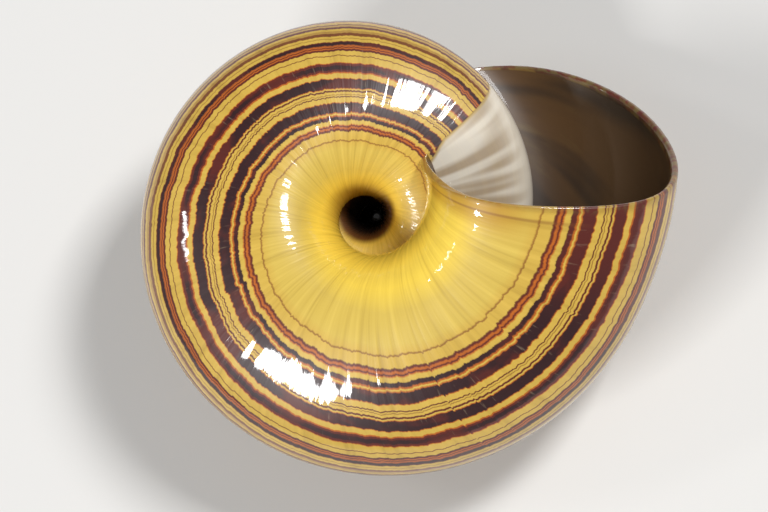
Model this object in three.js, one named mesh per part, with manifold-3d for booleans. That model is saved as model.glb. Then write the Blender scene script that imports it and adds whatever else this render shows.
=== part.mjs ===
// Land snail shell, lying with its base and umbilicus up.
// Every whorl is one closed section, turned about the coiling axis while it grows by
// the same ratio each turn. Units are millimetres and +Z is up.

import * as THREE from 'three';
import { mergeVertices } from 'three/addons/utils/BufferGeometryUtils.js';
import Module from 'manifold-3d';

const wasm = await Module();
wasm.setup();

// Growth of the spiral
const RADIUS = 32.1; // outer radius of the last whorl at turn 0, near the lip
const GROWTH_PER_TURN = 1.85;
const TURNS = 4.6; // from the tip of the spire to the lip
const TIP_TURNS = 0.2; // over which the rounded tip reaches its full width
const CENTRE_HEIGHT = 0.6; // height of the whorl's centre over the tip, in radii
const HEIGHT_POWER = 1.05; // above 1 rounds the spire into a dome
const LIP_FLARE = 0.051; // how much wider the whorl gets at the lip
const FLARE_START = -0.05; // turn
const FLARE_TURNS = 0.12;

// Section of a whorl, in radii
const BASE_HALF_HEIGHT = 0.21;
const SPIRE_HALF_HEIGHT = 0.445;
const UMBILICAL_DROP = 0.12; // how far the wall of the umbilicus is drawn down
const DROP_POWER = 4; // a high power keeps the drop close to the umbilicus
const DOME = 0.3; // rise of the base for each radius towards the umbilicus
const DOME_EDGE = 0.15; // how far it falls off again at the umbilicus
const DOME_EDGE_POWER = 8;
const UMBILICUS_EARLY = 0.09; // inner radius of the early whorls
const UMBILICUS_LAST = 0.233; // inner radius of the last whorl
const WIDENING_START = -0.72; // turn
const WIDENING_TURNS = 1.0;

// Surface of the mouth: how far the lip leads, in radii
const LIP_OFFSET = 0.002;
const LIP_SLOPE = 0.542; // lead gained for each radius below the crest of the oval
const LIP_CURVE = 0.291;
const COLUMELLA_LIMIT = 0.35; // the lead levels off on the umbilical side
const LEAD_PASSES = 3; // rounds in which the lead settles
const LARGEST_LEAD_SINE = 0.95;

// Wall
const WALL = 0.7; // thickness over most of the shell
const LIP_WALL = 0.45; // thickness at the edge of the lip
const LIP_TAPER = 0.12; // turns over which the wall thins towards the lip
const EMBED = 0.35; // depth that a wall's ends sink into the whorl before
const HOLLOW_TURNS = 2.05; // the hollow runs this far back from the lip

// Resting pose: the lean of the coiling axis, and the direction it leans about
const REST_LEAN = 14.5; // degrees
const REST_AZIMUTH = 26; // degrees

// Fineness of the faceting
const POINTS_PER_SECTION = 19;
const SECTIONS_PER_TURN = 38; // in the hollow whorls
const MIDDLE_SECTIONS_PER_TURN = 28;
const TIP_SECTIONS_PER_TURN = 24;
const TIP_SECTIONS_END = -3; // turn
const TIP_OPENING = 0.2; // the first section stands this share of a step off the tip's point
const SEGMENT_TURNS = 0.45; // the whorls are joined from pieces this long
const PROBES = 72; // points that trace a section while a wall's end is located
const SHORT_EDGE = 0.04; // edges of a seam shorter than this are closed up
const SLIVER_AREA = 0.002;

const TAU = 2 * Math.PI;
const radians = THREE.MathUtils.degToRad;
const blend = (x) => THREE.MathUtils.smoothstep(x, 0, 1);

// Angles round the section: 0 at the periphery, 90 at the base, -90 on the spire side
const DOME_FADE = [radians(260), radians(180)]; // the dome fades out under the umbilicus
const COLUMELLA_SIDE = [radians(60), radians(120)];
// Where a wall's ends are looked for: from, to, and the angle it takes if it meets nothing
const SPIRE_SEARCH = [radians(-40), radians(-178), radians(-178)];
const UMBILICAL_SEARCH = [radians(120), radians(250), radians(178)];
const SEARCH_STEP = radians(3);
const BISECTIONS = 16;
const SLOPE_STEP = 0.001;

// Height that the dome of the base adds to the section's oval.
function domeHeight(angle, inner) {
  const inwards = (1 - Math.cos(angle)) / 2;
  const [end, start] = DOME_FADE;
  const fade = blend((end - THREE.MathUtils.euclideanModulo(angle, TAU)) / (end - start));
  return fade * (DOME * (1 - inner) * inwards - DOME_EDGE * inwards ** DOME_EDGE_POWER);
}

// Point of the section at a turn and an angle round it: radius and height. The section
// is an oval, and the dome lifts its base.
function sectionPoint(turn, angle, domed = true) {
  const scale = GROWTH_PER_TURN ** turn;
  const flared = scale * (1 + LIP_FLARE * blend((turn - FLARE_START) / FLARE_TURNS));
  const widening = blend((turn - WIDENING_START) / WIDENING_TURNS);
  const inner = THREE.MathUtils.lerp(UMBILICUS_EARLY, UMBILICUS_LAST, widening);
  const cos = Math.cos(angle);
  const sin = Math.sin(angle);
  const mean = (BASE_HALF_HEIGHT + SPIRE_HALF_HEIGHT) / 2;
  const skew = (BASE_HALF_HEIGHT - SPIRE_HALF_HEIGHT) / 2;
  const drop = UMBILICAL_DROP * ((1 - cos) / 2) ** DROP_POWER;
  const r = (1 + inner) / 2 + ((1 - inner) / 2) * cos;
  const dome = domed ? domeHeight(angle, inner) : 0;
  const z = mean * sin + skew * sin * sin - drop + dome;
  const centre = CENTRE_HEIGHT * scale ** HEIGHT_POWER;
  return new THREE.Vector2(RADIUS * flared * r, RADIUS * (centre + flared * z));
}

// Crest of the section's oval at turn 0.
function crestHeight() {
  let height = -Infinity;
  for (let angle = 0; angle <= Math.PI; angle += radians(1)) {
    height = Math.max(height, sectionPoint(0, angle, false).y);
  }
  return height;
}

const CREST = crestHeight();

// Angle by which the growing edge leads at an angle round the section.
function lead(angle) {
  const [start, end] = COLUMELLA_SIDE;
  const columella = blend((angle - start) / (end - start));
  let result = 0;
  for (let pass = 0; pass <= LEAD_PASSES; pass += 1) {
    const point = sectionPoint(result / TAU, angle, false);
    const fall = (CREST - point.y) / RADIUS;
    const level = COLUMELLA_LIMIT * Math.tanh(fall / COLUMELLA_LIMIT);
    const drop = THREE.MathUtils.lerp(fall, level, columella);
    const ahead = LIP_OFFSET + LIP_SLOPE * drop + LIP_CURVE * drop * drop;
    const sine = (ahead * RADIUS) / point.x;
    result = Math.asin(THREE.MathUtils.clamp(sine, -LARGEST_LEAD_SINE, LARGEST_LEAD_SINE));
  }
  return result;
}

// Distance of a point inside the section of a turn, negative outside it.
function depthInside(turn, point) {
  let distance = Infinity;
  let inside = false;
  let a = sectionPoint(turn, 0);
  for (let i = 1; i <= PROBES; i += 1) {
    const b = sectionPoint(turn, (TAU * i) / PROBES);
    const edge = b.clone().sub(a);
    const offset = point.clone().sub(a);
    const along = THREE.MathUtils.clamp(offset.dot(edge) / edge.lengthSq(), 0, 1);
    distance = Math.min(distance, offset.sub(edge.clone().multiplyScalar(along)).length());
    if (a.y > point.y !== b.y > point.y) {
      const crossing = a.x + ((point.y - a.y) * edge.x) / edge.y;
      if (point.x < crossing) inside = !inside;
    }
    a = b;
  }
  return inside ? distance : -distance;
}

// Thickness of the wall on the growth line of a turn.
function wallThickness(line) {
  return THREE.MathUtils.lerp(LIP_WALL, WALL, blend(-line / LIP_TAPER));
}

// Point of the wall, sunk inwards from the outer surface along the section's normal.
function wallPoint(line, angle, sink) {
  const turn = line + lead(angle) / TAU;
  const point = sectionPoint(turn, angle);
  const before = sectionPoint(turn, angle - SLOPE_STEP);
  const after = sectionPoint(turn, angle + SLOPE_STEP);
  const slope = after.sub(before).normalize();
  const tip = Math.min(1, (line + TURNS) / TIP_TURNS);
  const width = Math.sqrt(Math.max(0, tip * (2 - tip)));
  const middle = sectionPoint(turn, 0).add(sectionPoint(turn, Math.PI)).multiplyScalar(0.5);
  const sunk = new THREE.Vector2(point.x - slope.y * sink, point.y + slope.x * sink);
  return { turn, place: middle.lerp(sunk, width) };
}

// Angle at which a curve of the wall has sunk to a depth in the whorl before.
function wallEnd(line, sink, depth, [from, to, fallback]) {
  const buried = (angle) => {
    const { turn, place } = wallPoint(line, angle, sink);
    if (turn - 1 < TIP_TURNS - TURNS) return false;
    return depthInside(turn - 1, place) > depth;
  };
  const step = Math.sign(to - from) * SEARCH_STEP;
  let angle = from;
  while (!buried(angle)) {
    angle += step;
    if ((to - angle) * step < 0) return fallback;
  }
  let low = angle - step;
  let high = angle;
  for (let i = 0; i < BISECTIONS; i += 1) {
    const middle = (low + high) / 2;
    if (buried(middle)) high = middle;
    else low = middle;
  }
  return high;
}

// One curve of the wall on a growth line. It has a point on each suture, and its two
// ends lie sunk in the whorl before.
function wallCurve(line, sink) {
  const [first, last] = [SPIRE_SEARCH, UMBILICAL_SEARCH].map((search) => ({
    sunk: wallEnd(line, sink, EMBED, search),
    suture: wallEnd(line, sink, 0, search),
  }));
  const visible = POINTS_PER_SECTION - 2;
  const angles = [first.sunk];
  for (let i = 0; i < visible; i += 1) {
    angles.push(THREE.MathUtils.lerp(first.suture, last.suture, i / (visible - 1)));
  }
  angles.push(last.sunk);
  return angles.map((angle) => {
    const { turn, place } = wallPoint(line, angle, sink);
    const around = TAU * turn;
    return [place.x * Math.cos(around), place.x * Math.sin(around), place.y];
  });
}

// Growth lines from the tip to the lip, closer together as the shell gets larger.
function growthLines() {
  const bands = [
    [-TURNS, TIP_SECTIONS_END, TIP_SECTIONS_PER_TURN],
    [TIP_SECTIONS_END, -HOLLOW_TURNS, MIDDLE_SECTIONS_PER_TURN],
    [-HOLLOW_TURNS, 0, SECTIONS_PER_TURN],
  ];
  const lines = [];
  for (const [from, to, perTurn] of bands) {
    const count = Math.round((to - from) * perTurn);
    for (let i = 0; i < count; i += 1) lines.push(THREE.MathUtils.lerp(from, to, i / count));
  }
  lines[0] = THREE.MathUtils.lerp(lines[0], lines[1], TIP_OPENING);
  lines.push(0);
  return lines;
}

// Closed solid between a run of growth lines, hollow or filled.
function segmentSolid(sections, hollow) {
  const size = POINTS_PER_SECTION;
  const vertices = [];
  const triangles = [];
  const quad = (a, b, c, d) => triangles.push([a, b, c], [a, c, d]);
  const outer = (i, j) => 2 * size * i + j;
  const inner = (i, j) => 2 * size * i + size + j;
  for (const section of sections) vertices.push(...section.outer, ...section.inner);

  const ring = [];
  for (let j = 0; j < size; j += 1) ring.push([outer, j]);
  if (hollow) {
    for (let j = size - 1; j >= 0; j -= 1) ring.push([inner, j]);
  } else {
    ring.push([inner, size - 1], [inner, 0]);
  }
  for (let i = 0; i + 1 < sections.length; i += 1) {
    for (let j = 0; j < ring.length; j += 1) {
      const [a, ja] = ring[j];
      const [b, jb] = ring[(j + 1) % ring.length];
      quad(a(i, ja), a(i + 1, ja), b(i + 1, jb), b(i, jb));
    }
  }

  const last = sections.length - 1;
  for (let j = 0; j + 1 < size; j += 1) {
    quad(outer(0, j), outer(0, j + 1), inner(0, j + 1), inner(0, j));
    triangles.push([outer(last, j), inner(last, j), inner(last, j + 1)]);
    triangles.push([outer(last, j), inner(last, j + 1), outer(last, j + 1)]);
  }
  if (!hollow) {
    for (const [i, facing] of [[0, 1], [last, -1]]) {
      const centre = [0, 1, 2].map((k) => {
        const sum = sections[i].inner.reduce((total, point) => total + point[k], 0);
        return sum / size;
      });
      vertices.push(centre);
      const hub = vertices.length - 1;
      for (let j = 0; j < size; j += 1) {
        const a = inner(i, j);
        const b = inner(i, (j + 1) % size);
        triangles.push(facing > 0 ? [hub, a, b] : [hub, b, a]);
      }
    }
  }
  return { vertices, triangles };
}

// Solid of a list of vertices and triangles, without the vertices that none uses.
function toManifold({ vertices, triangles }) {
  const renumber = new Map();
  const vertProperties = [];
  const triVerts = [];
  for (const index of triangles.flat()) {
    if (!renumber.has(index)) {
      renumber.set(index, renumber.size);
      vertProperties.push(...vertices[index]);
    }
    triVerts.push(renumber.get(index));
  }
  return new wasm.Manifold(
    new wasm.Mesh({
      numProp: 3,
      vertProperties: new Float32Array(vertProperties),
      triVerts: new Uint32Array(triVerts),
    }),
  );
}

// The whole shell, joined from its segments in order of growth.
function growShell() {
  const lines = growthLines();
  const sections = lines.map((line) => ({
    line,
    outer: wallCurve(line, 0),
    inner: wallCurve(line, wallThickness(line)),
  }));
  const cuts = [0];
  const hollowStart = lines.findIndex((line) => line >= -HOLLOW_TURNS - 1e-9);
  for (let i = 1; i < lines.length; i += 1) {
    const long = lines[i] - lines[cuts.at(-1)] >= SEGMENT_TURNS;
    if (long || i === hollowStart || i === lines.length - 1) cuts.push(i);
  }
  let shell = null;
  for (let c = 0; c + 1 < cuts.length; c += 1) {
    const run = sections.slice(cuts[c], cuts[c + 1] + 1);
    const solid = toManifold(segmentSolid(run, cuts[c] >= hollowStart));
    shell = shell ? shell.add(solid) : solid;
  }
  return shell;
}

// Triangles round each vertex.
function trianglesAround(triangles) {
  const around = new Map();
  triangles.forEach((triangle, index) => {
    for (const vertex of triangle) {
      if (!around.has(vertex)) around.set(vertex, new Set());
      around.get(vertex).add(index);
    }
  });
  return around;
}

function triangleNormal(points, [a, b, c]) {
  return points[b].clone().sub(points[a]).cross(points[c].clone().sub(points[a]));
}

// Draws the ends of each very short edge together, so that no sliver is left on a seam.
function closeShortEdges(points, triangles) {
  const around = trianglesAround(triangles);
  const neighbours = (vertex) => {
    const found = new Set();
    for (const index of around.get(vertex)) {
      for (const other of triangles[index]) if (other !== vertex) found.add(other);
    }
    return found;
  };
  const turnsOver = (from, to) => {
    for (const index of around.get(from)) {
      const triangle = triangles[index];
      if (triangle.includes(to)) continue;
      const moved = triangle.map((vertex) => (vertex === from ? to : vertex));
      const normal = triangleNormal(points, triangle);
      const newNormal = triangleNormal(points, moved);
      const size = normal.length() * newNormal.length();
      if (normal.length() > SLIVER_AREA && normal.dot(newNormal) < 0.5 * size) return true;
    }
    return false;
  };
  let closed = 0;
  for (let index = 0; index < triangles.length; index += 1) {
    for (let corner = 0; corner < 3 && triangles[index]; corner += 1) {
      const from = triangles[index][corner];
      const to = triangles[index][(corner + 1) % 3];
      if (points[from].distanceTo(points[to]) > SHORT_EDGE) continue;
      const beside = neighbours(to);
      const shared = [...neighbours(from)].filter((vertex) => beside.has(vertex));
      if (shared.length !== 2 || turnsOver(from, to)) continue;
      for (const touched of around.get(from)) {
        if (triangles[touched].includes(to)) {
          for (const vertex of triangles[touched]) around.get(vertex).delete(touched);
          triangles[touched] = null;
        } else {
          triangles[touched] = triangles[touched].map((v) => (v === from ? to : v));
          around.get(to).add(touched);
        }
      }
      around.delete(from);
      closed += 1;
    }
  }
  return { closed, kept: triangles.filter((triangle) => triangle) };
}

// Keeps the body that has the most triangles, and drops specks without volume. A body is
// what hangs together by edges: one that touches another at a corner alone is its own.
function largestBody(triangles) {
  const besides = new Map();
  const edges = ([a, b, c]) => [[a, b], [b, c], [c, a]].map((pair) => pair.sort().join());
  triangles.forEach((triangle, index) => {
    for (const edge of edges(triangle)) {
      if (!besides.has(edge)) besides.set(edge, []);
      besides.get(edge).push(index);
    }
  });
  const seen = new Set();
  let best = [];
  for (let start = 0; start < triangles.length; start += 1) {
    if (seen.has(start)) continue;
    const body = [start];
    seen.add(start);
    for (let i = 0; i < body.length; i += 1) {
      for (const edge of edges(triangles[body[i]])) {
        for (const index of besides.get(edge)) {
          if (!seen.has(index)) {
            seen.add(index);
            body.push(index);
          }
        }
      }
    }
    if (body.length > best.length) best = body;
  }
  return best.map((index) => triangles[index]);
}

function toGeometry(solid) {
  const { vertProperties, triVerts } = solid.getMesh();
  const points = [];
  for (let i = 0; i < vertProperties.length; i += 3) {
    points.push(new THREE.Vector3().fromArray(vertProperties, i));
  }
  let triangles = [];
  for (let i = 0; i < triVerts.length; i += 3) triangles.push([...triVerts.slice(i, i + 3)]);
  for (let closed = 1; closed > 0; ) {
    const result = closeShortEdges(points, largestBody(triangles));
    closed = result.closed;
    triangles = result.kept;
  }
  const geometry = new THREE.BufferGeometry().setFromPoints(points);
  geometry.setIndex(triangles.flat());
  return mergeVertices(geometry.toNonIndexed());
}

const banded = new THREE.MeshStandardMaterial({
  color: 0xb98a2e,
  roughness: 0.22,
  metalness: 0,
});

const shell = new THREE.Mesh(toGeometry(growShell()), banded);
shell.name = 'shell';

// Laid down on its spire, with the middle of its footprint at the origin
const azimuth = radians(REST_AZIMUTH);
const hinge = new THREE.Vector3(Math.cos(azimuth), Math.sin(azimuth), 0);
shell.quaternion.setFromAxisAngle(hinge, radians(REST_LEAN));
const box = new THREE.Box3().setFromObject(shell, true);
const middle = box.getCenter(new THREE.Vector3());
shell.position.set(-middle.x, -middle.y, -box.min.z);

const group = new THREE.Group();
group.add(shell);

export default group;
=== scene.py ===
"""Land snail shell, lying on its spire with its base and open umbilicus up.

The shell is one surface that follows its growth. Every growth line is a curve round the
whorl, and all growth lines together make the outer face, the inner face and the rounded lip.
The colours are laid along the growth lines and round the whorl, as the animal laid them.
Lengths are metres, or millimetres in marks, and angles in tables and marks are degrees.
"""

import logging
from dataclasses import dataclass, field
from enum import Enum
from functools import reduce
from typing import Protocol

import bpy
import numpy as np
from mathutils import Matrix, Vector

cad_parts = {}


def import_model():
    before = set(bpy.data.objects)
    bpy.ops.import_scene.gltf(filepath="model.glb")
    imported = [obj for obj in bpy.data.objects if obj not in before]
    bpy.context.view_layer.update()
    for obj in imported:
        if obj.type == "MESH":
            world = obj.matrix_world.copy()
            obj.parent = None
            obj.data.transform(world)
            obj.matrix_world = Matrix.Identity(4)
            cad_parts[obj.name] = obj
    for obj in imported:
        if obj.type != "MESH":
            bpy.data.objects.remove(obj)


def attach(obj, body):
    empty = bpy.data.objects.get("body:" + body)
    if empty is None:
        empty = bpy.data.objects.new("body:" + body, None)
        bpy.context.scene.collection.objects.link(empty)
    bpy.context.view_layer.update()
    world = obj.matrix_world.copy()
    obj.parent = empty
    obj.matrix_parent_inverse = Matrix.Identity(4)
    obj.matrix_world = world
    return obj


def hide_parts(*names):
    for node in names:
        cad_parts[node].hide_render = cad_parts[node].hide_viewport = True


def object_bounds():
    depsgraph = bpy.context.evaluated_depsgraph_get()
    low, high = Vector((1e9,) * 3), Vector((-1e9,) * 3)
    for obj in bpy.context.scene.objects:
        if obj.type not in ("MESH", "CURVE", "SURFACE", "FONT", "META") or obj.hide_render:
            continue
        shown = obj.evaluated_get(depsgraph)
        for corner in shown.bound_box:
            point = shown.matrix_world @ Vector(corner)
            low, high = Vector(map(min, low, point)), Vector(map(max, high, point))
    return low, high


LOG = logging.getLogger("snail_shell")
TAU = 2 * np.pi
MILLIMETRES = 1000.0  # in a metre
RAMP_STOPS = 31  # laid in one ramp
FAR_OUTSIDE = -1.0  # metres, well beyond any distance on the shell
Array = np.ndarray
Colour = tuple[float, float, float]
Span = tuple[float, float]  # from and to, as where a step is still 0 and where it is 1
Socket = bpy.types.NodeSocket


class Mark(Enum):
    """Numbers kept on each point of the shell for its finish."""

    GROWTH = "growth"  # turn at which the growth line lies, 0 at the lip
    BAND = "band"  # angle round the whorl, freed of the bands' own wandering, degrees
    ANGLE = "angle"  # angle round the whorl, degrees
    CALLUS = "callus"  # distance inside the edge of the callus, millimetres
    SEAM = "seam"  # distance from a suture, negative outside it, millimetres
    INNER = "inner"  # 0 on the outer face and the lip's edge, and 1 on the inner face
    AXIS = "axis"  # distance from the coiling axis, millimetres


class Form(Enum):
    """Noise forms that a finish may ask for."""

    SOFT = "soft"
    CELLS = "cells"


class Blend(Enum):
    """Ways to lay one colour on another."""

    MIXED = "MIX"
    MULTIPLIED = "MULTIPLY"


class Sum(Enum):
    """Sums that a finish may ask for."""

    PRODUCT = "MULTIPLY"
    QUOTIENT = "DIVIDE"
    DIFFERENCE = "SUBTRACT"
    WEIGHTED = "MULTIPLY_ADD"  # first times second, plus third
    LARGER = "MAXIMUM"
    ABOVE = "GREATER_THAN"


Value = Mark | Socket | float | Colour


def smooth(x: Array) -> Array:
    """Smooth step, 3x² - 2x³ with x held between 0 and 1."""
    x = np.clip(x, 0.0, 1.0)
    return x * x * (3 - 2 * x)


def mix(a: Array | float, b: Array | float, share: Array | float) -> Array:
    """Straight blend from a to b."""
    return a + (b - a) * share


@dataclass(frozen=True)
class Shift:
    """One smooth change along a number, from nothing at its start to the whole amount."""

    start: float
    length: float
    amount: float

    def at(self, x: Array) -> Array:
        """Change at x."""
        return self.amount * smooth((x - self.start) / self.length)


def shifted(base: float, shifts: tuple[Shift, ...], x: Array) -> Array:
    """Base with every change up to x added."""
    return base + sum(shift.at(x) for shift in shifts)


@dataclass(frozen=True)
class Spiral:
    """Growth of the whorl round the coiling axis.

    Each whorl is one closed section that turns about the axis while its size grows by the
    same ratio in every turn. Lengths are in radii of the last whorl, except the radius.
    """

    radius: float = 0.0321
    growth_per_turn: float = 1.85
    turns: float = 4.6
    tip_turns: float = 0.2
    centre_height: float = 0.6
    height_power: float = 1.05
    lip_flare: float = 0.051
    flare_start: float = -0.05
    flare_turns: float = 0.12
    base_half_height: float = 0.21
    spire_half_height: float = 0.445
    umbilical_drop: float = 0.12
    drop_power: float = 4.0
    dome: float = 0.3
    dome_edge: float = 0.15
    dome_edge_power: float = 8.0
    dome_fade: Span = (260.0, 180.0)
    umbilicus_early: float = 0.09
    umbilicus_last: float = 0.233
    widening_start: float = -0.72
    widening_turns: float = 1.0
    lip_offset: float = 0.002
    lip_slope: float = 0.542
    lip_curve: float = 0.291
    columella_limit: float = 0.35
    columella_side: Span = (60.0, 120.0)
    lead_passes: int = 3
    largest_sine: float = 0.95

    def dome_height(self, angle: Array, inner: Array) -> Array:
        """Height that the dome of the base adds to the section's oval.

        With i = (1 - cos a)/2: d(1 - u) i - e i^8, faded out under the umbilicus.

        Args:
            angle: angle round the section in radians.
            inner: inner radius u of the whorl, which is the umbilicus.

        Returns:
            Heights in radii.
        """
        inwards = (1 - np.cos(angle)) / 2
        end, start = np.radians(self.dome_fade)
        fade = smooth((end - angle % TAU) / (end - start))
        edge = self.dome_edge * inwards**self.dome_edge_power
        return fade * (self.dome * (1 - inner) * inwards - edge)

    def section(self, turn: Array, angle: Array, domed: bool = True) -> tuple[Array, Array]:
        """Radius and height of a point of the section.

        With k = growth^turn, flared near the lip: r = k((1 + u)/2 + (1 - u)/2 cos a) and
        z = c k^p + k(m sin a + n sin² a - d((1 - cos a)/2)^4 + dome).

        Args:
            turn: turns round the axis, 0 at the lip's middle.
            angle: angle round the section in radians, 0 at the periphery.
            domed: whether the dome lifts the base.

        Returns:
            The radius and the height in metres.
        """
        scale = self.growth_per_turn**turn
        flare = smooth((turn - self.flare_start) / self.flare_turns)
        flared = scale * (1 + self.lip_flare * flare)
        widening = smooth((turn - self.widening_start) / self.widening_turns)
        inner = mix(self.umbilicus_early, self.umbilicus_last, widening)
        cos, sin = np.cos(angle), np.sin(angle)
        mean = (self.base_half_height + self.spire_half_height) / 2
        skew = (self.base_half_height - self.spire_half_height) / 2
        drop = self.umbilical_drop * ((1 - cos) / 2) ** self.drop_power
        r = (1 + inner) / 2 + (1 - inner) / 2 * cos
        z = mean * sin + skew * sin * sin - drop
        if domed:
            z = z + self.dome_height(angle, inner)
        centre = self.centre_height * scale**self.height_power
        return self.radius * flared * r, self.radius * (centre + flared * z)

    def lead(self, angle: Array) -> Array:
        """Angle about the axis by which the growing edge leads.

        The edge leads by offset + slope f + curve f², where f is how far the point lies
        below the crest of the base, levelled off beside the columella. It settles in a few
        passes, because the section has grown by the time that the edge arrives.

        Args:
            angle: angle round the section in radians.

        Returns:
            The lead in radians.
        """
        around = np.radians(np.arange(181.0))
        crest = self.section(np.zeros_like(around), around, False)[1].max()
        start, end = np.radians(self.columella_side)
        columella = smooth((angle - start) / (end - start))
        result = np.zeros_like(angle)
        for _ in range(self.lead_passes + 1):
            r, z = self.section(result / TAU, angle, False)
            fall = (crest - z) / self.radius
            level = self.columella_limit * np.tanh(fall / self.columella_limit)
            drop = mix(fall, level, columella)
            ahead = self.lip_offset + self.lip_slope * drop + self.lip_curve * drop * drop
            sine = ahead * self.radius / r
            result = np.arcsin(np.clip(sine, -self.largest_sine, self.largest_sine))
        return result

    def depth_inside(self, turn: Array, r: Array, z: Array, probes: int = 72) -> Array:
        """Distance of a point inside the section of a turn, negative outside it.

        The section is taken as a polygon: the distance is that to its nearest edge, and
        the sign comes from the number of edges that a line outwards crosses.

        Args:
            turn: turn of the section.
            r: radius of the point.
            z: height of the point.
            probes: corners of the polygon.

        Returns:
            Signed distances in metres.
        """
        nearest = np.full(r.shape, np.inf)
        inside = np.zeros(r.shape, dtype=bool)
        ar, az = self.section(turn, np.zeros_like(r))
        for i in range(1, probes + 1):
            br, bz = self.section(turn, np.full_like(r, TAU * i / probes))
            er, ez = br - ar, bz - az
            along = ((r - ar) * er + (z - az) * ez) / (er * er + ez * ez)
            along = np.clip(along, 0.0, 1.0)
            nearest = np.minimum(nearest, np.hypot(r - ar - along * er, z - az - along * ez))
            crosses = (az > z) != (bz > z)
            level = np.where(crosses, bz - az, 1.0)
            inside ^= crosses & (r < ar + (z - az) * er / level)
            ar, az = br, bz
        return np.where(inside, nearest, -nearest)

    def depth_before(self, turn: Array, r: Array, z: Array) -> Array:
        """Depth of a point in the whorl one turn before, far outside where there is none."""
        depth = self.depth_inside(turn - 1, r, z)
        return np.where(turn - 1 < self.tip_turns - self.turns, FAR_OUTSIDE, depth)


@dataclass(frozen=True)
class Wall:
    """The wall of the shell: a curve on every growth line, at a depth below the outer face."""

    spiral: Spiral = field(default_factory=Spiral)
    thickness: float = 0.0007
    lip_thickness: float = 0.0008
    lip_taper: float = 0.12
    embed: float = 0.00035
    slope_step: float = 0.001
    spire_search: tuple[float, float, float] = (-40.0, -178.0, -178.0)
    umbilical_search: tuple[float, float, float] = (120.0, 250.0, 178.0)
    search_steps: int = 60
    bisections: int = 16

    def thickness_at(self, line: Array) -> Array:
        """Thickness on a growth line, turning to the lip's own near it."""
        return mix(self.lip_thickness, self.thickness, smooth(-line / self.lip_taper))

    def place(self, line: Array, angle: Array, sink: Array) -> tuple[Array, Array, Array]:
        """Turn, radius and height of a point of the wall.

        The point lies on the section, sunk inwards along its normal. At the tip the
        section narrows to its middle, by sqrt(t(2 - t)) with t the share of the tip.

        Args:
            line: growth line, in turns.
            angle: angle round the section in radians.
            sink: depth below the outer face.

        Returns:
            The turn about the axis, the radius and the height.
        """
        spiral = self.spiral
        turn = line + spiral.lead(angle) / TAU
        r, z = spiral.section(turn, angle)
        r0, z0 = spiral.section(turn, angle - self.slope_step)
        r1, z1 = spiral.section(turn, angle + self.slope_step)
        length = np.hypot(r1 - r0, z1 - z0)
        r_sunk = r - (z1 - z0) / length * sink
        z_sunk = z + (r1 - r0) / length * sink
        share = np.clip((line + spiral.turns) / spiral.tip_turns, 0.0, 1.0)
        width = np.sqrt(share * (2 - share))
        outer = spiral.section(turn, np.zeros_like(turn))
        inner = spiral.section(turn, np.full_like(turn, np.pi))
        r_mid, z_mid = (outer[0] + inner[0]) / 2, (outer[1] + inner[1]) / 2
        return turn, mix(r_mid, r_sunk, width), mix(z_mid, z_sunk, width)

    def buried(self, line: Array, angle: Array, sink: Array) -> Array:
        """Whether a point of the wall has sunk into the whorl one turn before."""
        return self.spiral.depth_before(*self.place(line, angle, sink)) > self.embed

    def end(self, line: Array, sink: Array, search: tuple[float, float, float]) -> Array:
        """Angle at which the wall has sunk into the whorl before.

        The angles are stepped through until one is buried, then halved in between.

        Args:
            line: growth lines, one per curve.
            sink: depth of each curve below the outer face.
            search: angles in degrees, from and to, and the one taken if nothing is met.

        Returns:
            One angle in radians per growth line.
        """
        start, stop, free = np.radians(search)
        steps = np.linspace(start, stop, self.search_steps)
        lines, angles = np.meshgrid(line, steps, indexing="ij")
        sinks = np.broadcast_to(sink[:, None], lines.shape)
        buried = self.buried(lines, angles, sinks)
        first = np.argmax(buried, axis=1)
        met = buried.any(axis=1)
        high = steps[first]
        low = steps[np.maximum(first - 1, 0)]
        for _ in range(self.bisections):
            middle = (low + high) / 2
            under = self.buried(line, middle, sink)
            high = np.where(under, middle, high)
            low = np.where(under, low, middle)
        return np.where(met, high, free)

    def curves(self, line: Array, sink: Array, points: int) -> tuple[Array, Array]:
        """Angles and points of the wall's curves, from the spire suture to the umbilical one.

        Args:
            line: growth lines, one per curve.
            sink: depth of each curve below the outer face.
            points: points on a curve, spaced evenly in angle.

        Returns:
            Angles, lines by points, and places, lines by points by 3, in the shell's own
            upright frame with the coiling axis on Z.
        """
        first = self.end(line, sink, self.spire_search)
        last = self.end(line, sink, self.umbilical_search)
        share = np.linspace(0.0, 1.0, points)
        angle = mix(first[:, None], last[:, None], share[None, :])
        lines = np.broadcast_to(line[:, None], angle.shape)
        turn, r, z = self.place(lines, angle, np.broadcast_to(sink[:, None], angle.shape))
        around = TAU * turn
        return angle, np.stack([r * np.cos(around), r * np.sin(around), z], axis=-1)


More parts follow.
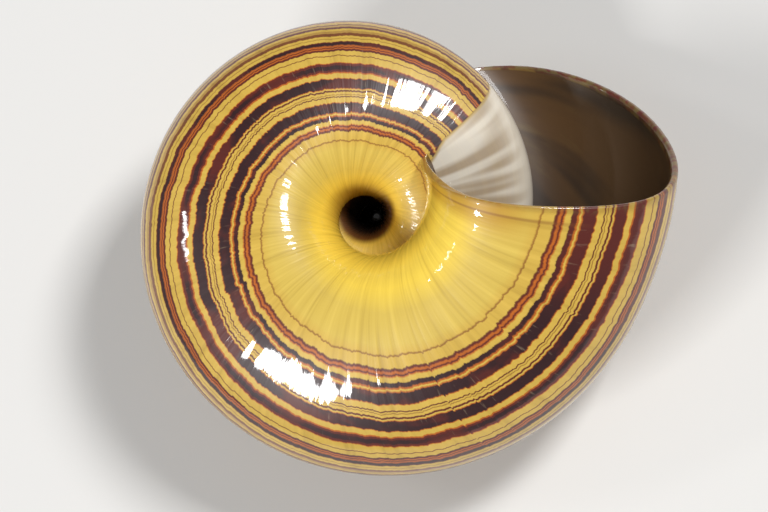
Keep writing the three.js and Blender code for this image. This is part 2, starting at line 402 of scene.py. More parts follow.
@dataclass
class NodeBench:
    """Short ways to lay out and join the nodes of one material."""

    tree: bpy.types.NodeTree

    def add(self, kind: str, **settings: object) -> bpy.types.Node:
        """Adds a node.

        Args:
            kind: the node's type.
            settings: values of its properties.

        Returns:
            The node.
        """
        node = self.tree.nodes.new(kind)
        for name, value in settings.items():
            setattr(node, name, value)
        return node

    def feed(self, socket: Socket, value: Value) -> None:
        """Joins an input to a mark or an output, or sets its number or colour.

        Args:
            socket: the input.
            value: what it takes.
        """
        if isinstance(value, Mark):
            value = self.add("ShaderNodeAttribute", attribute_name=value.value).outputs["Fac"]
        if isinstance(value, Socket):
            self.tree.links.new(value, socket)
        else:
            socket.default_value = (*value, 1.0) if isinstance(value, tuple) else value

    def math(self, operation: Sum, *values: Value) -> Socket:
        """Works out one sum.

        Args:
            operation: the sum.
            values: what it takes, in order.

        Returns:
            The result.
        """
        node = self.add("ShaderNodeMath", operation=operation.value)
        for socket, value in zip(node.inputs, values):
            self.feed(socket, value)
        return node.outputs[0]

    def times(self, *values: Value) -> Socket:
        """Product of the values."""
        return reduce(lambda a, b: self.math(Sum.PRODUCT, a, b), values)

    def step(self, value: Value, span: Span) -> Socket:
        """Smooth step of a number. The span's second end may lie below its first.

        Args:
            value: the number.
            span: where the step is still 0, and where it has come to 1.

        Returns:
            The step.
        """
        node = self.add("ShaderNodeMapRange", interpolation_type="SMOOTHSTEP")
        self.feed(node.inputs["Value"], value)
        ends = (*span, 0.0, 1.0) if span[1] > span[0] else (*reversed(span), 1.0, 0.0)
        for name, end in zip(("From Min", "From Max", "To Min", "To Max"), ends):
            node.inputs[name].default_value = end
        return node.outputs["Result"]

    def point(self, x: Value, y: Value) -> Socket:
        """Makes a place in pattern space.

        Args:
            x: first number.
            y: second number.

        Returns:
            The place.
        """
        node = self.add("ShaderNodeCombineXYZ")
        for socket, value in zip(node.inputs, (x, y)):
            self.feed(socket, value)
        return node.outputs[0]

    def noise(self, place: Socket, form: Form, detail: float = 0.0) -> Socket:
        """Makes noise from 0 to 1.

        Args:
            place: where in pattern space.
            form: soft, or in flat cells.
            detail: how much finer noise is added to the soft form.

        Returns:
            The noise.
        """
        if form is Form.CELLS:
            node = self.add("ShaderNodeTexVoronoi", voronoi_dimensions="2D")
        else:
            node = self.add("ShaderNodeTexNoise", noise_dimensions="3D")
            node.inputs["Detail"].default_value = detail
        self.feed(node.inputs["Vector"], place)
        node.inputs["Scale"].default_value = 1.0
        if form is Form.SOFT:
            return node.outputs[0]
        split = self.add("ShaderNodeSeparateColor")
        self.feed(split.inputs[0], node.outputs["Color"])
        return split.outputs[0]

    def blend(self, share: Value, a: Value, b: Value, kind: Blend = Blend.MIXED) -> Socket:
        """Turns one colour towards another.

        Args:
            share: how far, from 0 to 1.
            a: first colour.
            b: second colour.
            kind: whether b takes a's place or is multiplied with it.

        Returns:
            The colour.
        """
        node = self.add("ShaderNodeMix", data_type="RGBA", blend_type=kind.value)
        for place, value in ((0, share), (6, a), (7, b)):
            self.feed(node.inputs[place], value)
        return node.outputs[2]

    def ramp(self, value: Value, stops: list[tuple[float, Colour]]) -> Socket:
        """Colours along a number, in as many ramps as their stops need.

        Args:
            value: the number.
            stops: numbers in rising order, each with its colour.

        Returns:
            The colour at the number.
        """
        result = None
        while stops:
            part, rest = stops[:RAMP_STOPS], stops[RAMP_STOPS - 1 :]
            low, high = part[0][0], part[-1][0]
            share = self.math(Sum.QUOTIENT, self.math(Sum.DIFFERENCE, value, low), high - low)
            node = self.add("ShaderNodeValToRGB")
            self.feed(node.inputs[0], share)
            elements = node.color_ramp.elements
            while len(elements) < len(part):
                elements.new(1.0)
            for element, (at, colour) in zip(elements, part):
                element.position = (at - low) / (high - low)
                element.color = (*colour, 1.0)
            above = self.math(Sum.ABOVE, value, low)
            result = node.outputs[0] if result is None else self.blend(above, result, node.outputs[0])
            stops = rest if len(rest) > 1 else []
        return result


@dataclass(frozen=True)
class Pigments:
    """Colours of the shell, as linear light."""

    yellow: Colour = (0.66, 0.43, 0.065)
    pale: Colour = (0.69, 0.49, 0.085)
    gold: Colour = (0.95, 0.67, 0.075)
    orange: Colour = (0.50, 0.12, 0.006)
    rust: Colour = (0.33, 0.075, 0.008)
    red: Colour = (0.12, 0.012, 0.004)
    dark: Colour = (0.028, 0.003, 0.004)
    brown: Colour = (0.20, 0.06, 0.010)
    tan: Colour = (0.48, 0.27, 0.05)
    thread: Colour = (0.33, 0.15, 0.02)
    olive: Colour = (0.15, 0.095, 0.025)
    # Painted shade in the deep umbilicus: dark brown, then nearly black
    cave_painted_shade: Colour = (0.11, 0.040, 0.008)
    hollow: Colour = (0.008, 0.003, 0.001)
    amber: Colour = (0.50, 0.25, 0.015)
    taupe: Colour = (0.105, 0.048, 0.011)
    # Painted shade deep inside the mouth and on the callus there, and also the dark clouds of the inner face
    shade: Colour = (0.024, 0.011, 0.003)
    milk: Colour = (0.80, 0.72, 0.59)
    clouded: Colour = (0.44, 0.33, 0.21)
    rim: Colour = (0.50, 0.34, 0.12)


@dataclass(frozen=True)
class Streaks:
    """Soft noise that runs fine along the growth and coarse round the whorl."""

    per_turn: float
    per_degree: float
    detail: float
    limits: Span = (0.0, 1.0)

    def noise(self, bench: NodeBench) -> Socket:
        """Noise from 0 to 1."""
        place = bench.point(bench.times(Mark.GROWTH, self.per_turn), bench.times(Mark.BAND, self.per_degree))
        return bench.noise(place, Form.SOFT, self.detail)

    def patches(self, bench: NodeBench) -> Socket:
        """Share of the patches in which the noise passes its limits."""
        return bench.step(self.noise(bench), self.limits)


class Layer(Protocol):
    """Anything that is laid over the colour below it."""

    def over(self, bench: NodeBench, below: Socket) -> Socket:
        """Colour that shows once the layer lies there."""


@dataclass(frozen=True)
class Wash:
    """One pigment, laid where its steps on the marks and its streaks allow it."""

    pigment: Colour
    steps: tuple[tuple[Mark, Span], ...] = ()
    streaks: Streaks | None = None
    share: float = 1.0

    def over(self, bench: NodeBench, below: Socket) -> Socket:
        """Lays the pigment by the product of its steps, its patches and its share.

        Args:
            bench: where the nodes are laid out.
            below: the colour under it.

        Returns:
            The colour that shows.
        """
        shares = [bench.step(mark, span) for mark, span in self.steps]
        if self.streaks:
            shares.append(self.streaks.patches(bench))
        return bench.blend(bench.times(*shares, self.share), below, self.pigment)


@dataclass(frozen=True)
class SpiralBands:
    """Dark bands on yellow, which step a little aside at every rest in growth."""

    edge: float = 0.45
    rests_per_turn: float = 75.0
    rest_shift: float = 0.9
    fine: Streaks = Streaks(260.0, 0.025, 2.0)
    fine_shift: float = 2.4
    slow: Streaks = Streaks(60.0, 0.03, 2.0)
    slow_shift: float = 2.6
    pale_field: Span = (118.0, 135.0)
    gold_field: Span = (150.0, 200.0)

    def stops(self) -> list[tuple[float, Colour]]:
        """Stops of the bands round the whorl.

        Every band has a flat colour, and between two bands the colour turns within the
        width of the edge. Past the last band the yellow turns pale and then gold.

        Returns:
            Angles in degrees from the spire side to the umbilicus, with their colours.
        """
        p = Pigments
        bands: list[tuple[float, Colour]] = [
            (-130.0, p.yellow), (-88.0, p.dark), (-82.0, p.yellow), (-74.0, p.red),
            (-71.0, p.yellow), (-62.0, p.dark), (-52.0, p.orange), (-50.0, p.yellow),
            (-43.0, p.brown), (-40.0, p.tan), (-36.0, p.dark), (-27.0, p.orange),
            (-25.0, p.yellow), (-20.0, p.red), (-17.0, p.tan), (-12.0, p.dark),
            (-6.0, p.orange), (-4.0, p.yellow), (1.0, p.brown), (4.0, p.tan),
            (7.5, p.dark), (12.0, p.orange), (13.5, p.yellow), (15.5, p.thread),
            (16.1, p.yellow), (18.0, p.brown), (20.0, p.tan), (23.0, p.red),
            (26.0, p.yellow), (29.0, p.tan), (32.0, p.brown), (35.5, p.yellow),
            (38.0, p.thread), (38.6, p.yellow), (41.5, p.red), (42.5, p.dark),
            (45.0, p.rust), (45.9, p.orange), (46.9, p.red), (47.7, p.orange),
            (48.7, p.red), (50.5, p.yellow), (54.0, p.brown), (54.7, p.yellow),
            (59.7, p.orange), (60.3, p.red), (62.0, p.dark), (65.0, p.red),
            (66.5, p.orange), (67.5, p.yellow), (70.8, p.orange), (71.3, p.dark),
            (77.5, p.orange), (78.0, p.yellow), (78.9, p.red), (80.0, p.yellow),
            (81.6, p.thread), (82.1, p.yellow), (82.9, p.red), (83.6, p.yellow),
            (86.8, p.orange), (87.3, p.dark), (93.5, p.orange), (94.2, p.yellow),
            (95.2, p.orange), (96.2, p.dark), (98.8, p.yellow), (101.6, p.orange),
            (102.3, p.red), (103.2, p.orange), (104.6, p.red), (106.1, p.yellow),
            (112.0, p.thread), (113.0, p.yellow),
        ]
        stops = [bands[0]]
        for (_, before), (at, colour) in zip(bands, bands[1:]):
            stops.append((at - self.edge / 2, before))
            stops.append((at + self.edge / 2, colour))
        stops.extend((at, p.pale) for at in self.pale_field)
        stops.extend((at, p.gold) for at in self.gold_field)
        return stops

    def colour(self, bench: NodeBench) -> Socket:
        """Colour of the bands, looked up at an angle shifted by three noises.

        Args:
            bench: where the nodes are laid out.

        Returns:
            The colour.
        """
        rests = bench.point(bench.times(Mark.GROWTH, self.rests_per_turn), 0.0)
        noises = (
            (bench.noise(rests, Form.CELLS), self.rest_shift),
            (self.fine.noise(bench), self.fine_shift),
            (self.slow.noise(bench), self.slow_shift),
        )
        angle: Value = Mark.BAND
        for noise, amount in noises:
            angle = bench.math(Sum.WEIGHTED, bench.math(Sum.DIFFERENCE, noise, 0.5), amount, angle)
        return bench.ramp(angle, self.stops())


@dataclass(frozen=True)
class GrowthTint:
    """Growth lines, lighter and darker, broad ones with fine ones between."""

    striae: Streaks = Streaks(240.0, 0.014, 2.0)
    broad: Streaks = Streaks(75.0, 0.012, 2.0)
    broad_weight: float = 0.9
    share: float = 0.5
    tones: tuple[tuple[float, Colour], ...] = (
        (0.2, (0.62, 0.56, 0.42)),
        (0.42, (0.9, 0.88, 0.8)),
        (0.6, (1.0, 1.0, 1.0)),
        (0.85, (1.18, 1.2, 1.35)),
    )

    def over(self, bench: NodeBench, below: Socket) -> Socket:
        """Multiplies the colour by the tone of its growth line.

        Args:
            bench: where the nodes are laid out.
            below: the colour under it.

        Returns:
            The colour that shows.
        """
        broad = bench.math(Sum.DIFFERENCE, self.broad.noise(bench), 0.5)
        lines = bench.math(Sum.WEIGHTED, broad, self.broad_weight, self.striae.noise(bench))
        return bench.blend(self.share, below, bench.ramp(lines, list(self.tones)), Blend.MULTIPLIED)


@dataclass(frozen=True)
class DarkWear:
    """Dark bands turn reddish in places and near the lip, and pale scratches cross them."""

    darkness: Span = (0.06, 0.02)
    warm: Streaks = Streaks(22.0, 0.06, 3.0, (0.48, 0.62))
    warm_lip: Span = (-0.09, -0.02)
    warm_share: float = 0.75
    scratches: Streaks = Streaks(330.0, 0.07, 4.0, (0.62, 0.78))
    scratch_share: float = 0.35

    def over(self, bench: NodeBench, below: Socket) -> Socket:
        """Warms and scratches the colour where it is dark.

        Args:
            bench: where the nodes are laid out.
            below: the colour under it.

        Returns:
            The colour that shows.
        """
        grey = bench.add("ShaderNodeRGBToBW")
        bench.feed(grey.inputs[0], below)
        dark = bench.step(grey.outputs[0], self.darkness)
        near_lip = bench.step(Mark.GROWTH, self.warm_lip)
        warm = bench.math(Sum.LARGER, self.warm.patches(bench), near_lip)
        warmed = bench.blend(bench.times(warm, dark, self.warm_share), below, Pigments.red)
        scratched = bench.times(self.scratches.patches(bench), dark, self.scratch_share)
        return bench.blend(scratched, warmed, Pigments.clouded)


@dataclass(frozen=True)
class CallusGlaze:
    """White glaze over the bands, clouded along the growth lines, with a tan rim."""

    clouds: Streaks = Streaks(62.0, 0.008, 1.0, (0.40, 0.66))
    cloud_angle: Span = (5.0, 55.0)
    cover: float = 0.97
    rim: Wash = Wash(Pigments.rim, ((Mark.CALLUS, (0.5, 0.1)),))
    edge: Span = (-0.05, 0.08)
    # Painted shade over the callus deep inside the mouth
    deep: Wash = Wash(Pigments.shade, ((Mark.CALLUS, (0.0, 0.3)), (Mark.GROWTH, (-1.12, -1.3))))

    def over(self, bench: NodeBench, below: Socket) -> Socket:
        """Glazes the colour where the callus lies, and paints shade over it deep inside the mouth.

        Args:
            bench: where the nodes are laid out.
            below: the colour under it.

        Returns:
            The colour that shows.
        """
        clouded = bench.times(self.clouds.patches(bench), bench.step(Mark.ANGLE, self.cloud_angle))
        white = bench.blend(clouded, Pigments.milk, Pigments.clouded)
        glaze = self.rim.over(bench, bench.blend(self.cover, below, white))
        return self.deep.over(bench, bench.blend(bench.step(Mark.CALLUS, self.edge), below, glaze))


@dataclass(frozen=True)
class LipEdge:
    """Mottled brown on the lip's edge, strongest on its spire side."""

    mottle: Streaks = Streaks(300.0, 0.35, 3.0, (0.42, 0.58))
    reach: Span = (-0.0075, -0.0015)
    spire_side: Span = (30.0, -15.0)
    spire_share: float = 0.55
    base_share: float = 0.4

    def over(self, bench: NodeBench, below: Socket) -> Socket:
        """Mottles the colour near the lip's edge.

        Args:
            bench: where the nodes are laid out.
            below: the colour under it.

        Returns:
            The colour that shows.
        """
        mottled = bench.blend(self.mottle.patches(bench), Pigments.olive, Pigments.red)
        upper = bench.step(Mark.ANGLE, self.spire_side)
        share = bench.math(Sum.WEIGHTED, upper, self.spire_share, self.base_share)
        return bench.blend(bench.times(bench.step(Mark.GROWTH, self.reach), share), below, mottled)


@dataclass(frozen=True)
class InnerFace:
    """Brown inner face, with painted shade that darkens it deeper inside the mouth, and clouded along the
    growth lines.
    """

    # Growth lines over which the painted shade deepens inside the mouth
    depth: Span = (-0.01, -0.22)
    clouds: tuple[Wash, ...] = (
        Wash(Pigments.shade, (), Streaks(26.0, 0.012, 2.0, (0.44, 0.62)), 0.8),
        Wash(Pigments.olive, (), Streaks(40.0, 0.03, 3.0, (0.55, 0.75)), 0.5),
    )

    def over(self, bench: NodeBench, below: Socket) -> Socket:
        """Gives the inner face its own colour.

        Args:
            bench: where the nodes are laid out.
            below: the outer face's colour.

        Returns:
            The colour that shows.
        """
        # Painted shade: the taupe turns to shade deeper inside the mouth
        colour = bench.blend(bench.step(Mark.GROWTH, self.depth), Pigments.taupe, Pigments.shade)
        for cloud in self.clouds:
            colour = cloud.over(bench, colour)
        return bench.blend(Mark.INNER, below, colour)


@dataclass(frozen=True)
class Relief:
    """Broad swellings and fine grooves along the growth lines, none on the inner face."""

    swelling: Streaks
    swelling_height: float
    groove_height: float
    grooves: Streaks = Streaks(240.0, 0.014, 2.0, (0.42, 0.66))
    callus_edge: Span = (0.0, 0.1)
    callus_smoothness: float = 0.75
    strength: float = 0.5
    distance: float = 0.00012

    def normal(self, bench: NodeBench) -> Socket:
        """Bumps the normal by swellings plus grooves, faded out where the shell is smooth.

        Args:
            bench: where the nodes are laid out.

        Returns:
            The normal.
        """
        glazed = bench.times(bench.step(Mark.CALLUS, self.callus_edge), self.callus_smoothness)
        shown = bench.math(Sum.DIFFERENCE, 1.0, bench.math(Sum.LARGER, Mark.INNER, glazed))
        grooves = bench.times(self.grooves.patches(bench), self.groove_height)
        height = bench.math(Sum.WEIGHTED, self.swelling.noise(bench), self.swelling_height, grooves)
        bump = bench.add("ShaderNodeBump")
        bench.feed(bump.inputs["Strength"], self.strength)
        bench.feed(bump.inputs["Distance"], self.distance)
        bench.feed(bump.inputs["Height"], bench.times(height, shown))
        return bump.outputs[0]


@dataclass(frozen=True)
class BandedFinish:
    """The shell's finish: its layers of colour, its relief and its gloss."""

    bands: SpiralBands = SpiralBands()
    # Amber near the columella, and one brown line along the lip there
    columella: tuple[Wash, ...] = (
        Wash(Pigments.amber, ((Mark.GROWTH, (-0.045, -0.012)), (Mark.ANGLE, (80.0, 112.0))), share=0.8),
        Wash(
            Pigments.brown,
            (
                (Mark.GROWTH, (-0.0155, -0.0135)),
                (Mark.GROWTH, (-0.011, -0.013)),
                (Mark.ANGLE, (60.0, 85.0)),
            ),
            share=0.5,
        ),
    )
    # Painted shade down in the umbilicus: a brown ring, and in the early whorls nearly black
    umbilicus: tuple[Wash, ...] = (
        Wash(Pigments.brown, ((Mark.AXIS, (3.9, 2.2)),), share=0.6),
        Wash(Pigments.cave_painted_shade, ((Mark.AXIS, (3.5, 2.7)), (Mark.GROWTH, (-0.88, -1.02)))),
        Wash(Pigments.hollow, ((Mark.AXIS, (2.9, 1.9)), (Mark.GROWTH, (-0.88, -1.02)))),
    )
    # A dark hair line where two whorls meet, except under the callus
    suture: Wash = Wash(Pigments.brown, ((Mark.SEAM, (-0.22, -0.02)), (Mark.CALLUS, (0.1, -0.3))), share=0.75)
    body_relief: Relief = Relief(Streaks(75.0, 0.012, 2.0), 1.0, 0.10)
    gloss_relief: Relief = Relief(Streaks(85.0, 0.015, 0.0), 1.7, 0.04)
    roughness: float = 0.45
    gloss: float = 1.0
    gloss_lost_inside: float = 0.85
    gloss_roughness: float = 0.05

    def layers(self) -> tuple[Layer, ...]:
        """Layers over the bands, from the lowest up."""
        outer = (GrowthTint(), DarkWear(), *self.columella, *self.umbilicus, CallusGlaze(), LipEdge())
        return (*outer, InnerFace(), self.suture)

    def material(self) -> bpy.types.Material:
        """Builds the material of the shell, each layer over the one before.

        Returns:
            The material, which reads the marks on the shell's points.
        """
        material = bpy.data.materials.new("banded shell")
        material.use_nodes = True
        material.node_tree.nodes.clear()
        bench = NodeBench(material.node_tree)
        colour = self.bands.colour(bench)
        for layer in self.layers():
            colour = layer.over(bench, colour)
        inputs = {
            "Base Color": colour,
            "Roughness": self.roughness,
            "Coat Weight": bench.math(Sum.WEIGHTED, Mark.INNER, -self.gloss_lost_inside, self.gloss),
            "Coat Roughness": self.gloss_roughness,
            "Normal": self.body_relief.normal(bench),
            "Coat Normal": self.gloss_relief.normal(bench),
        }
        shader = bench.add("ShaderNodeBsdfPrincipled")
        for name, value in inputs.items():
            bench.feed(shader.inputs[name], value)
        output = bench.add("ShaderNodeOutputMaterial")
        bench.feed(output.inputs["Surface"], shader.outputs[0])
        return material


@dataclass(frozen=True)
class Rest:
    """How the shell lies: the coiling axis leans about a level hinge."""

    lean: float = 14.5
    azimuth: float = 26.0

    def turning(self) -> Matrix:
        """Turn from the shell's upright frame to its place of rest."""
        hinge = Vector((np.cos(np.radians(self.azimuth)), np.sin(np.radians(self.azimuth)), 0.0))
        return Matrix.Rotation(np.radians(self.lean), 3, hinge)


@dataclass
class SnailShell:
    """The whole shell as one closed surface."""

    wall: Wall = field(default_factory=Wall)
    rest: Rest = field(default_factory=Rest)
    finish: BandedFinish = field(default_factory=BandedFinish)
    points: int = 56
    hollow_turns: float = 2.05
    lines_per_turn: tuple[tuple[float, float], ...] = ((-4.6, 100), (-2.3, 180), (-1.3, 300))
    lip_round_turns: float = 0.0021
    lip_round_lines: int = 8
    lip_colour_end: float = -0.002
    lip_colour_softness: float = 0.0035
    tip_gap: float = 0.02
    mark_limit: float = 0.003
    inset: float = 0.0001
    # The bands wander: degrees added to their angles, changing along the growth lines
    wander_start: float = -4.0
    wander: tuple[Shift, ...] = (
        Shift(-0.90, 0.13, 5.5),
        Shift(-0.75, 0.13, -1.5),
        Shift(-0.62, 0.58, -24.0),
    )
    # Growth line at which the callus ends, in turns, changing with degrees round the whorl
    callus_line: float = -0.872
    callus_edge: tuple[Shift, ...] = (
        Shift(-40.0, 60.0, -0.013),
        Shift(80.0, 22.0, -0.018),
        Shift(100.0, 15.0, 0.008),
    )
    to_world: Matrix = field(default_factory=Matrix, init=False)

    def growth_lines(self) -> tuple[Array, Array]:
        """Growth lines from the tip to the lip, and how rounded the wall is on each.

        The last lines lie on a quarter circle, line = -e(1 - sin b), and the wall draws
        together there by 1 - cos b, so that the lip's edge is round.

        Returns:
            Growth lines in turns, and shares from 0 for the whole wall to 1 for its middle.
        """
        starts = [start for start, _ in self.lines_per_turn]
        ends = [*starts[1:], -self.lip_round_turns]
        parts = []
        for (start, per_turn), end in zip(self.lines_per_turn, ends):
            count = int(round((end - start) * per_turn))
            parts.append(np.linspace(start, end, count, endpoint=False))
        lines = np.concatenate(parts)
        lines[0] = mix(lines[0], lines[1], self.tip_gap)
        beta = np.linspace(0.0, np.pi / 2, self.lip_round_lines)
        rounded = -self.lip_round_turns * (1 - np.sin(beta))
        share = np.concatenate([np.zeros_like(lines), 1 - np.cos(beta)])
        return np.concatenate([lines, rounded]), share

    def surface(self) -> tuple[Array, Array, dict[Mark, Array]]:
        """Works out the grid of points and its marks.

        Each growth line gives one ring: its outer curve, then its inner curve back. Before
        the hollow starts, the inner curve runs straight between the outer one's ends.

        Returns:
            Places, lines by ring points by 3, growth lines, and one array per mark.
        """
        line, rounding = self.growth_lines()
        half = self.wall.thickness_at(line) / 2
        outer_angle, outer = self.wall.curves(line, half * rounding, self.points)
        inner_angle, inner = self.wall.curves(line, half * (2 - rounding), self.points)
        solid = (line < -self.hollow_turns)[:, None, None]
        share = np.linspace(0.0, 1.0, self.points)[None, :, None]
        chord = mix(outer[:, :1], outer[:, -1:], share)
        inner = np.where(solid, chord, inner)

        places = np.concatenate([outer, inner[:, ::-1]], axis=1)
        angle = np.concatenate([outer_angle, inner_angle[:, ::-1]], axis=1)
        lines = np.broadcast_to(line[:, None], angle.shape)
        is_inner = np.zeros_like(angle)
        inside = smooth((self.lip_colour_end - line) / self.lip_colour_softness)
        is_inner[:, self.points :] = inside[:, None]
        marks = {
            Mark.GROWTH: lines,
            Mark.ANGLE: np.degrees(angle),
            Mark.BAND: self.band_place(lines, np.degrees(angle)),
            Mark.INNER: is_inner,
            Mark.AXIS: np.hypot(places[..., 0], places[..., 1]) * MILLIMETRES,
        }
        marks.update(self.contact_marks(lines, angle, places))
        return places, line, marks

    def band_place(self, line: Array, angle: Array) -> Array:
        """Angle in degrees, freed of the bands' wandering."""
        return angle - shifted(self.wander_start, self.wander, line)

    def contact_marks(self, line: Array, angle: Array, places: Array) -> dict[Mark, Array]:
        """Marks of the callus and the sutures.

        The callus covers what lies inside the next whorl and behind the callus's edge: its
        mark is the smaller of the two distances. The suture's mark is the larger of the
        depths in the whorl before and in the next one.

        Args:
            line: growth lines.
            angle: angles round the section in radians.
            places: points in the upright frame.

        Returns:
            The two marks in millimetres.
        """
        spiral = self.wall.spiral
        turn = line + spiral.lead(angle) / TAU
        r, z = np.hypot(places[..., 0], places[..., 1]), places[..., 2]
        before = spiral.depth_before(turn, r, z)
        after = spiral.depth_inside(turn + 1, r, z)
        edge = shifted(self.callus_line, self.callus_edge, np.degrees(angle))
        behind = (edge - line) * TAU * r
        callus = np.minimum(after, behind)
        grown = behind > 0
        seam = np.maximum(before, np.where(grown, after, FAR_OUTSIDE))
        limit = self.mark_limit
        return {
            Mark.CALLUS: np.clip(callus, -limit, limit) * MILLIMETRES,
            Mark.SEAM: np.clip(seam, -limit, limit) * MILLIMETRES,
        }

    def faces(self, lines: int) -> Array:
        """Quads between neighbouring rings, with both ends closed.

        The tip's first ring is closed by a strip of quads across it. At the lip the two
        faces share their last curve, so the strips of the last ring meet there.

        Args:
            lines: number of rings.

        Returns:
            Corner numbers, quads by 4.
        """
        ring = 2 * self.points
        i, j = np.meshgrid(np.arange(lines - 1), np.arange(ring), indexing="ij")
        after = (j + 1) % ring
        quads = np.stack([i * ring + j, (i + 1) * ring + j, (i + 1) * ring + after, i * ring + after], -1)
        across = np.arange(self.points - 1)
        tip = np.stack([across, across + 1, ring - 2 - across, ring - 1 - across], -1)
        last = (lines - 1) * ring
        corners = np.concatenate([quads.reshape(-1, 4), tip])
        mirrored = corners >= last + self.points
        return np.where(mirrored, 2 * last + ring - 1 - corners, corners)

    def build(self, low: Vector, high: Vector) -> bpy.types.Object:
        """Makes the shell in its place of rest, inside the solid's box.

        Args:
            low: lowest corner of the solid's box.
            high: highest corner of the solid's box.

        Returns:
            The shell's object.
        """
        places, line, marks = self.surface()
        turned = places.reshape(-1, 3) @ np.array(self.rest.turning()).T
        own_low, own_high = turned.min(axis=0), turned.max(axis=0)
        box_low, box_high = np.array(low), np.array(high)
        scale = ((box_high - box_low - self.inset) / (own_high - own_low)).min()
        middle = (own_low + own_high) / 2
        anchor = np.array([middle[0], middle[1], own_low[2]])
        target = (box_low + box_high) / 2
        target[2] = box_low[2] + self.inset / 2
        self.to_world = Matrix.Translation(Vector(target - anchor * scale)) @ (
            Matrix.Scale(scale, 4) @ self.rest.turning().to_4x4()
        )
        points = (turned - anchor) * scale + target

        faces = self.faces(len(line))
        mesh = bpy.data.meshes.new("shell")
        mesh.from_pydata(points, [], faces)
        for mark, values in marks.items():
            layer = mesh.attributes.new(mark.value, "FLOAT", "POINT")
            layer.data.foreach_set("value", values.reshape(-1).astype(np.float32))
        mesh.polygons.foreach_set("use_smooth", np.ones(len(faces), dtype=bool))
        mesh.validate()
        shell = bpy.data.objects.new("shell", mesh)
        bpy.context.scene.collection.objects.link(shell)
        mesh.materials.append(self.finish.material())
        LOG.info("shell: %d points, %d quads, scale %.4f", len(points), len(faces), scale)
        return shell


@dataclass(frozen=True)
class Softbox:
    """One soft rectangular light, aimed at the shell. Directions are in the view's axes."""

    name: str
    direction: tuple[float, float, float]
    along: tuple[float, float, float]
    size: tuple[float, float]
    power: float
    distance: float = 0.9

    def build(self, aim: Vector, view: Matrix) -> bpy.types.Object:
        """Hangs the light, its first side along the given direction.

        Args:
            aim: point that it faces.
            view: turn from the view's axes to the world's.

        Returns:
            The light.
        """
        data = bpy.data.lights.new(self.name, "AREA")
        data.shape = "RECTANGLE"
        data.size, data.size_y = self.size
        data.energy = self.power
        light = bpy.data.objects.new(self.name, data)
        bpy.context.scene.collection.objects.link(light)
        away = (view @ Vector(self.direction)).normalized()
        up = away.cross(view @ Vector(self.along)).normalized()
        turn = Matrix((up.cross(away), up, away)).transposed()
        light.matrix_world = Matrix.Translation(aim + away * self.distance) @ turn.to_4x4()
        return light


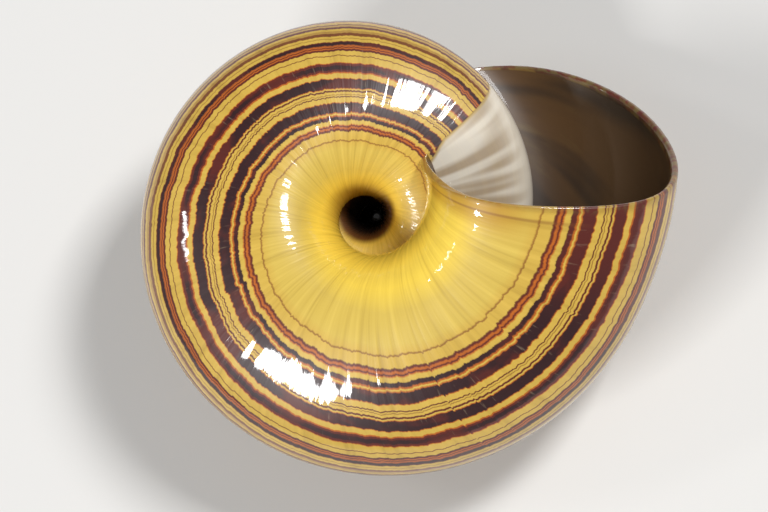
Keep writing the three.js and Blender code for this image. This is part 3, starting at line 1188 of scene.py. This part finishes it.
@dataclass
class Studio:
    """Pale floor, soft lights and the camera over the shell."""

    floor_half: float = 3.0
    floor_colour: Colour = (0.72, 0.71, 0.69)
    floor_roughness: float = 0.9
    fill_colour: Colour = (0.92, 0.95, 1.0)
    fill_strength: float = 0.17
    camera_distance: float = 0.62132
    lens: float = 283.66
    sensor: float = 36.0
    tilt: tuple[float, float] = (-2.086, -6.253)
    reference_height: float = 0.8
    reference_pixel: tuple[float, float] = (352.54, 208.26)
    frame_size: tuple[int, int] = (768, 512)
    softboxes: tuple[Softbox, ...] = (
        Softbox("upper right softbox", (0.36, 0.53, 0.77), (1.0, -0.5, 0.0), (0.20, 0.24), 6.5),
        Softbox("lower left softbox", (-0.63, -0.44, 0.62), (0.73, -0.68, 0.0), (0.32, 0.13), 5.2),
        Softbox("left strip", (-0.89, 0.18, 0.42), (0.0, 1.0, 0.0), (0.16, 0.03), 0.5),
    )

    def view_axes(self, shell: SnailShell) -> Matrix:
        """Axes of the view in the world.

        Args:
            shell: the shell, which knows how it lies.

        Returns:
            Right, up and back, as columns.
        """
        tilt_x, tilt_y = np.radians(self.tilt)
        first = Matrix.Rotation(tilt_x, 3, "X")
        second = Matrix.Rotation(tilt_y, 3, "Y")
        return shell.rest.turning() @ (second @ first).transposed()

    def build_camera(self, shell: SnailShell) -> Matrix:
        """Sets the camera so that the shell stands where the photograph has it.

        The camera stands on the view's back axis, and looks at the point beside the
        shell's middle that lies in the middle of the picture.

        Args:
            shell: the shell, which knows its place.

        Returns:
            The view's axes in the world.
        """
        axes = self.view_axes(shell)
        radius = shell.wall.spiral.radius
        reference = shell.to_world @ Vector((0.0, 0.0, self.reference_height * radius))
        place = reference + axes @ Vector((0.0, 0.0, self.camera_distance))
        pixels = self.lens / self.sensor * self.frame_size[0]
        right = (self.frame_size[0] / 2 - self.reference_pixel[0]) / pixels
        down = (self.frame_size[1] / 2 - self.reference_pixel[1]) / pixels
        aim = axes @ Vector((right, -down, -1.0))
        back = -aim.normalized()
        side = (axes @ Vector((0.0, 1.0, 0.0))).cross(back).normalized()
        turn = Matrix((side, back.cross(side), back)).transposed()
        data = bpy.data.cameras.new("camera")
        data.lens, data.sensor_width = self.lens, self.sensor
        camera = bpy.data.objects.new("camera", data)
        camera.matrix_world = Matrix.Translation(place) @ turn.to_4x4()
        bpy.context.scene.collection.objects.link(camera)
        bpy.context.scene.camera = camera
        return axes

    def build_floor(self) -> bpy.types.Object:
        """Lays the plain pale floor.

        Returns:
            The floor.
        """
        half = self.floor_half
        mesh = bpy.data.meshes.new("floor")
        corners = [(-half, -half, 0), (half, -half, 0), (half, half, 0), (-half, half, 0)]
        mesh.from_pydata(corners, [], [(0, 1, 2, 3)])
        material = bpy.data.materials.new("pale floor")
        material.use_nodes = True
        shader = material.node_tree.nodes["Principled BSDF"]
        shader.inputs["Base Color"].default_value = (*self.floor_colour, 1.0)
        shader.inputs["Roughness"].default_value = self.floor_roughness
        mesh.materials.append(material)
        floor = bpy.data.objects.new("floor", mesh)
        bpy.context.scene.collection.objects.link(floor)
        return floor

    def build_world(self) -> None:
        """Gives the soft light from all round, and plain colours without a film's look."""
        world = bpy.data.worlds.new("studio")
        world.use_nodes = True
        background = world.node_tree.nodes["Background"]
        background.inputs["Color"].default_value = (*self.fill_colour, 1.0)
        background.inputs["Strength"].default_value = self.fill_strength
        bpy.context.scene.world = world
        bpy.context.scene.view_settings.view_transform = "Standard"

    def build(self, shell: SnailShell, low: Vector, high: Vector) -> list[bpy.types.Object]:
        """Builds the studio round the shell.

        Args:
            shell: the shell, which knows its place.
            low: lowest corner of its box.
            high: highest corner of its box.

        Returns:
            The objects that are no part of the shell.
        """
        axes = self.build_camera(shell)
        self.build_world()
        middle = (low + high) / 2
        made = [softbox.build(middle, axes) for softbox in self.softboxes]
        made.append(self.build_floor())
        return made


def main() -> None:
    """Builds the shell and the studio."""
    logging.basicConfig(level=logging.INFO, format="%(message)s")
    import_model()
    low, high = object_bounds()
    shell = SnailShell()
    piece = shell.build(low, high)
    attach(piece, "root")
    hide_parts("shell")
    for thing in Studio().build(shell, low, high):
        LOG.info("studio: %s", thing.name)


if __name__ == "__main__":
    main()
